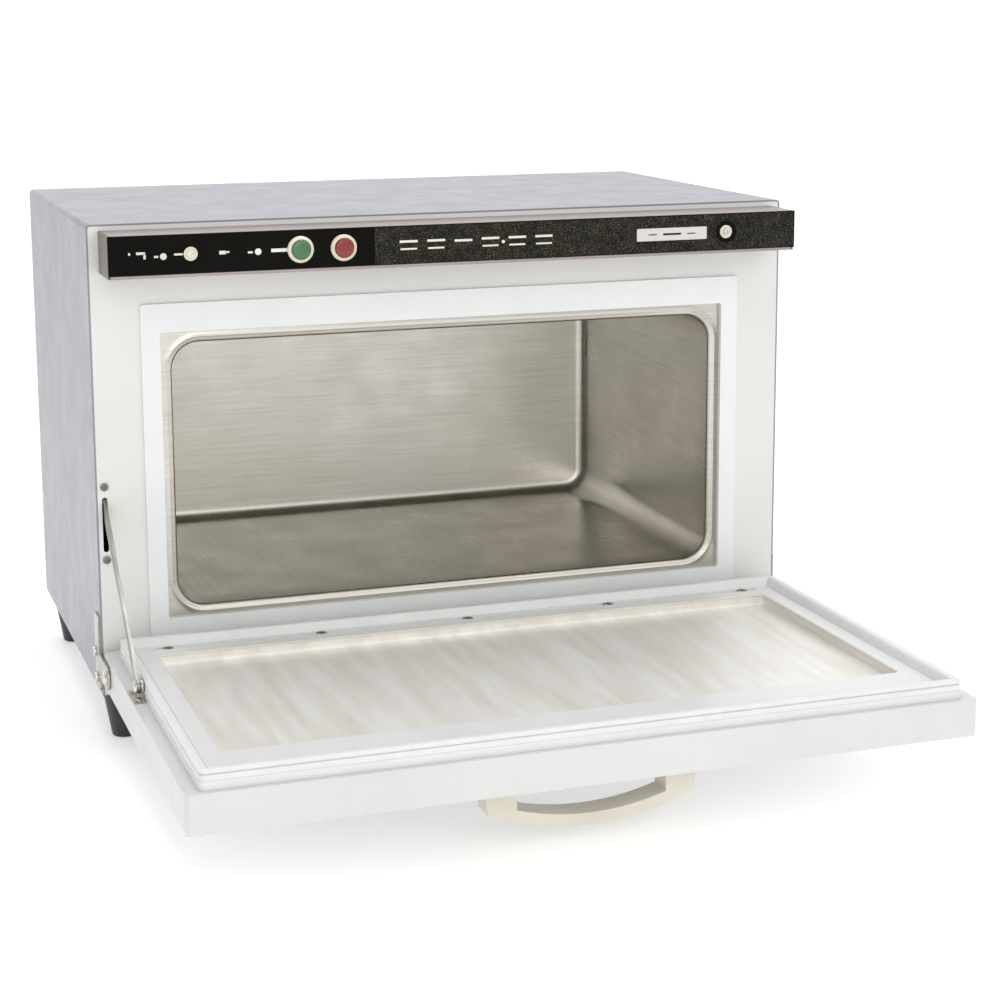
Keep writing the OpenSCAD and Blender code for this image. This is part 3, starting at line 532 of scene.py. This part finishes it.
def make_stay_bead(material):
    """Pressed stiffening bead along the outer face of the stay arm."""
    low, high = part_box("stay_arm")
    lower = Vector((low[0], low[1] + STAY_HALF, low[2] + STAY_HALF))
    upper = Vector((low[0], high[1] - STAY_HALF, high[2] - STAY_HALF))
    along = (upper - lower).normalized()
    across = Vector((0, -along.z, along.y))
    start, end = lower + along * 14 * MM, upper - along * 12 * MM
    width, proud, rows = 1.7 * MM, 0.45 * MM, 24
    verts, faces = [], []
    section = [(-1.0, 0.05), (-0.8, -0.35), (-0.45, -0.85), (0.0, -1.0), (0.45, -0.85), (0.8, -0.35), (1.0, 0.05)]
    for row in range(rows + 1):
        f = row / rows
        taper = math.sin(math.pi * min(f, 1 - f, 0.06) / 0.12)
        centre = start + (end - start) * f
        for side, depth in section:
            shift = across * side * width * max(taper, 0.05)
            verts.append(tuple(centre + shift + Vector((depth * proud * max(taper, 0.05), 0, 0))))
    count = len(section)
    for row in range(rows):
        for i in range(count - 1):
            a = row * count + i
            faces.append((a, a + 1, a + count + 1, a + count))
        faces.append((row * count + count - 1, row * count, (row + 1) * count, (row + 1) * count + count - 1))
    faces.append(list(range(count)))
    faces.append([rows * count + i for i in range(count)])
    piece = build("stay_arm_bead", verts, faces, material)
    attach(piece, "stay")


# ---------------------------------------------------------------- printed marks

INK = 0.06 * MM


def ink_bar(marks, x, z, width, height):
    marks.append([(x - width / 2, z - height / 2), (x + width / 2, z - height / 2),
                  (x + width / 2, z + height / 2), (x - width / 2, z + height / 2)])


def ink_dot(marks, x, z, radius, steps=20):
    marks.append([(x + radius * math.cos(2 * math.pi * i / steps), z + radius * math.sin(2 * math.pi * i / steps))
                  for i in range(steps)])


def print_marks(name, marks, y, material):
    """Turns flat outlines into thin raised print on a face that looks to the front."""
    verts, faces = [], []
    for outline in marks:
        first, count = len(verts), len(outline)
        verts += [(x, y + 0.01 * MM, z) for x, z in outline] + [(x, y - INK, z) for x, z in outline]
        faces.append([first + i for i in range(count)])
        faces.append([first + count + i for i in range(count)])
        faces += [(first + i, first + (i + 1) % count, first + count + (i + 1) % count, first + count + i)
                  for i in range(count)]
    piece = build(name, verts, faces, material, smooth=False)
    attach(piece, "cabinet")


def middle(node, axis):
    low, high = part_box(node)
    return (low[axis] + high[axis]) / 2


# Dashes beside the left screw: place across and up from the screw, width and height, in millimetres
DASHES_BY_SCREW = ((-38, 1.2, 1.2, 1.6), (-31, 1.4, 5.5, 1.6), (-28.6, -0.6, 1.4, 3.2), (-21.5, -1, 2.6, 1.3),
                   (-7.6, 0, 5.4, 1.3), (20, 0, 4.2, 2.2), (23, 0.2, 2.6, 1.1), (37.5, -0.6, 3.0, 1.3))
DOTS_BY_SCREW = ((-17, -1), (42.5, -0.4))
SCREW_HEAD_R = 2.6 * MM


def make_legends(materials):
    """Generic marks: dashes and dots beside the screw and the buttons, and short bars on the film."""
    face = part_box("fascia_strip")[0][1]
    level = middle("green_button", 2)
    green = middle("green_button", 0)
    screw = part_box("bar_screws")[0][0] + SCREW_HEAD_R
    marks = []
    for across, up, width, height in DASHES_BY_SCREW:
        ink_bar(marks, screw + across * MM, level + up * MM, width * MM, height * MM)
    for across, up in DOTS_BY_SCREW:
        ink_dot(marks, screw + across * MM, level + up * MM, 2.1 * MM)
    ink_bar(marks, green - 13.4 * MM, level, 10.5 * MM, 2.2 * MM)
    print_marks("bar_legend", marks, face, materials["legend_ink"])

    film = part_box("control_label")[0]
    marks = []
    for i in range(6):
        x = film[0] + (22.5 + 18.4 * i) * MM
        lift = 2.2 * MM if i != 2 else 1.5 * MM
        ink_bar(marks, x, level + lift, 12 * MM, 1.5 * MM)
        if i != 2:
            ink_bar(marks, x, level - 2.6 * MM, 11 * MM, 1.1 * MM)
    ink_dot(marks, film[0] + 86.5 * MM, level - 0.4 * MM, 1.1 * MM)
    print_marks("film_legend", marks, film[1], materials["legend_ink"])

    plate_low, plate_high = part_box("name_plate")
    centre = (plate_low[0] + plate_high[0]) / 2
    marks = []
    ink_bar(marks, centre, level, 13 * MM, 1.3 * MM)
    for side in (-1, 1):
        ink_bar(marks, centre + side * 14 * MM, level, 6 * MM, 0.7 * MM)
    print_marks("plate_legend", marks, plate_low[1], materials["label_brown"])


# ---------------------------------------------------------------- stage

def make_camera():
    data = bpy.data.cameras.new("camera")
    data.lens = CAMERA_LENS
    data.sensor_width = SENSOR
    data.shift_y = CAMERA_SHIFT_Y
    data.clip_end = 50
    camera = bpy.data.objects.new("camera", data)
    camera.location = CAMERA_PLACE
    look = Euler((math.pi / 2 - CAMERA_TILT, 0, CAMERA_TURN), "XYZ")
    roll = Euler((0, 0, CAMERA_ROLL), "XYZ")
    camera.rotation_euler = (look.to_matrix() @ roll.to_matrix()).to_euler()
    bpy.context.scene.collection.objects.link(camera)
    bpy.context.scene.camera = camera


def area_light(name, place, target, size, power, color):
    data = bpy.data.lights.new(name, "AREA")
    data.shape = "RECTANGLE"
    data.size, data.size_y = size
    data.energy = power
    data.color = color
    light = bpy.data.objects.new(name, data)
    light.location = place
    direction = Vector(target) - Vector(place)
    light.rotation_euler = direction.to_track_quat("-Z", "Y").to_euler()
    bpy.context.scene.collection.objects.link(light)


WORLD_LEFT, WORLD_RIGHT = 0.66, 1.02    # brightness of the surroundings on either side


def make_lights():
    """Even white surroundings, a little darker on the left, with a soft fill from the front and a top light."""
    world = bpy.data.worlds.new("studio")
    bpy.context.scene.world = world
    world.use_nodes = True
    background = world.node_tree.nodes["Background"]
    background.inputs["Color"].default_value = (1.0, 1.0, 1.0, 1)
    place = add_node(world, "ShaderNodeTexCoord")
    split = add_node(world, "ShaderNodeSeparateXYZ")
    link(world, place.outputs["Generated"], split.inputs["Vector"])
    spread = add_node(world, "ShaderNodeMapRange")
    for socket, value in (("From Min", -1.0), ("From Max", 1.0), ("To Min", WORLD_LEFT), ("To Max", WORLD_RIGHT)):
        spread.inputs[socket].default_value = value
    link(world, split.outputs["X"], spread.inputs["Value"])
    link(world, spread.outputs["Result"], background.inputs["Strength"])
    centre = (0, -0.1, 0.15)
    area_light("key", (0.9, -1.6, 1.5), centre, (1.4, 1.0), 3, (1.0, 0.98, 0.94))
    area_light("fill", (-0.35, -1.9, 0.75), centre, (1.2, 0.9), 5.5, (1.0, 1.0, 0.98))
    area_light("top", (0, 0.1, 2.0), centre, (1.6, 1.4), 14, (0.91, 0.93, 1.0))
    bpy.context.scene.view_settings.view_transform = "Standard"


def make_stage():
    """Pale floor that curves up into a backdrop far behind."""
    floor_material = new_material("studio_floor", (0.9, 0.9, 0.9), 0.8, Emission_Color=(1, 1, 1, 1),
                                  Emission_Strength=0.32)
    color_between(floor_material, noise_at(floor_material, 3, detail=2), (0.88, 0.88, 0.88), (0.91, 0.91, 0.91))
    rows = [(-6.0, 0.0), (4.0, 0.0)]
    rows += [(4.0 + 2.0 * math.sin(a), 2.0 - 2.0 * math.cos(a)) for a in (0.26 * i for i in range(1, 6))]
    rows.append((6.2, 6.0))
    verts = [(x, y, z) for y, z in rows for x in (-9.0, 9.0)]
    faces = [(2 * i, 2 * i + 1, 2 * i + 3, 2 * i + 2) for i in range(len(rows) - 1)]
    floor = build("studio_sweep", verts, faces, floor_material)


# ---------------------------------------------------------------- main

materials = make_materials()
make_camera()
make_lights()
make_stage()
dress_cad_nodes(materials)
make_tank(materials["tank_steel"])
make_pan(materials["pan_steel"])
make_gasket(materials["gasket_white"])
make_liner_bead(materials["bezel_cream"])
make_stay_bead(materials["stay_steel"])
make_legends(materials)
